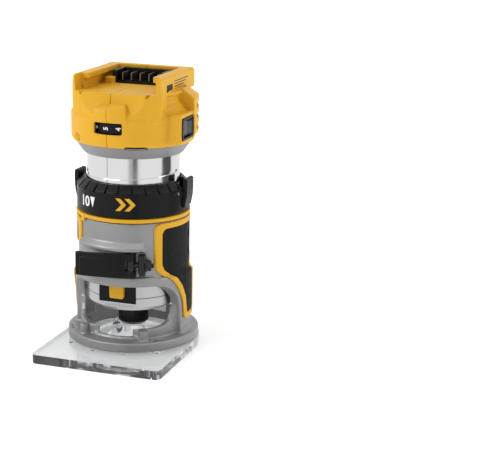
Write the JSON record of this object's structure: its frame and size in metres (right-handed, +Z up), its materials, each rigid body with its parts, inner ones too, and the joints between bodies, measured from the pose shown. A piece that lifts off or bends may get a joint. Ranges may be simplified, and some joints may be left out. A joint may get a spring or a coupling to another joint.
{
  "type": "trim router",
  "caption": "Cordless compact router: motor unit with battery dock, held in a fixed base with a depth ring, release tabs, clamp lever and clear sub-base.",
  "frame": {"origin": "on the spindle axis at the underside of the sub-base, where the bit leaves the tool", "axes": "+Z up along the spindle axis; -Y is the front, with the clamp lever, speed dial and the straight edge of the sub-base; +X is the switch side"},
  "size_m": [0.1004, 0.1252, 0.2076],
  "materials": {
    "clear_plastic": "clear polycarbonate",
    "steel": "zinc plated",
    "cast_grey": "satin cast aluminium, light grey",
    "bright_aluminium": "bright turned",
    "yellow_plastic": "moulded, satin",
    "black_plastic": "moulded, satin",
    "black_rubber": "overmoulded, matt",
    "black_steel": "black oxide",
    "copper": "enamelled winding wire",
    "board_green": "solder resist",
    "switch_gloss": "gloss moulded",
    "lamp": "diffusing lens"
  },
  "bodies": {
    "base": {"base_casting": "cast_grey", "sub_base": "clear_plastic", "sub_base_screws": "steel", "guide_keys": "steel", "base_collar": "yellow_plastic", "ring_retainer": "steel", "grip_trim_right": "yellow_plastic", "grip_right": "black_rubber", "grip_trim_left": "yellow_plastic", "grip_left": "black_rubber", "clamp_lug": "black_steel", "clamp_bolt": "black_steel", "clamp_washer": "black_steel", "clamp_nut": "black_steel"},
    "lever": {"clamp_lever": "black_plastic", "lever_pin": "steel"},
    "depth_ring": {"adjusting_ring": "black_plastic", "tab_pins": "steel", "tab_springs": "steel"},
    "tab_right": {"release_tab_right": "black_plastic"},
    "tab_left": {"release_tab_left": "black_plastic"},
    "motor": {"motor_housing": "bright_aluminium", "nose_casting": "bright_aluminium", "work_lights": "lamp", "lower_bearing": "steel", "upper_bearing": "steel", "lock_housing": "black_plastic", "lock_spring": "steel", "stator_core": "steel", "stator_windings": "copper", "bearing_plate": "bright_aluminium", "bearing_bowl": "cast_grey", "cap_right": "yellow_plastic", "cap_left": "yellow_plastic", "cap_screws": "steel", "terminal_block": "black_plastic", "terminal_blades": "steel", "dial_axle": "black_plastic", "switch_bezel": "black_plastic", "control_board": "board_green"},
    "spindle": {"spindle_shaft": "steel", "collet": "steel", "collet_nut": "black_steel", "lock_wheel": "steel", "cooling_fan": "black_plastic", "rotor_core": "steel", "rotor_magnets": "black_steel"},
    "dial": {"speed_dial": "black_plastic"},
    "rocker": {"power_rocker": "switch_gloss"},
    "button": {"lock_button": "yellow_plastic"}
  },
  "joints": [
    {"name": "motor_depth", "type": "slide", "parent": "base", "child": "motor", "axis": [0, 0, 1], "range_m": [-0.018, 0.02]},
    {"name": "depth_ring_turn", "type": "hinge", "parent": "base", "child": "depth_ring", "pos_m": [0, 0, 0.118], "axis": [0, 0, 1], "range_deg": [-722, 650]},
    {"name": "release_tab_right_squeeze", "type": "hinge", "parent": "depth_ring", "child": "tab_right", "pos_m": [0.0396, 0, 0.121], "axis": [0, -1, 0], "range_deg": [0, 9], "stiffness_Nm_per_rad": 0.5, "springref_deg": -8.59},
    {"name": "release_tab_left_squeeze", "type": "hinge", "parent": "depth_ring", "child": "tab_left", "pos_m": [-0.0396, 0, 0.121], "axis": [0, 1, 0], "range_deg": [0, 9], "stiffness_Nm_per_rad": 0.5, "springref_deg": -8.59},
    {"name": "clamp_lever_swing", "type": "hinge", "parent": "base", "child": "lever", "pos_m": [0.01467, -0.04031, 0.0716], "axis": [0, 0, 1], "range_deg": [0, 105]},
    {"name": "spindle_turn", "type": "hinge", "parent": "motor", "child": "spindle", "pos_m": [0, 0, 0.1], "axis": [0, 0, 1], "continuous": true},
    {"name": "power_rocker_tilt", "type": "hinge", "parent": "motor", "child": "rocker", "pos_m": [0.0434, -0.01205, 0.1707], "axis": [0, 0, 1], "range_deg": [0, 8]},
    {"name": "speed_dial_turn", "type": "hinge", "parent": "motor", "child": "dial", "pos_m": [0, -0.0254, 0.17185], "axis": [0, 0, 1], "range_deg": [-135, 135]},
    {"name": "spindle_lock_press", "type": "slide", "parent": "motor", "child": "button", "axis": [0, 1, 0], "range_m": [0, 0.0032], "stiffness_N_per_m": 600, "springref_m": -0.003}
  ],
  "couplings": [
    {"joint": "depth_ring_turn", "follows": "motor_depth", "rad_per_m": -628.32}
  ]
}
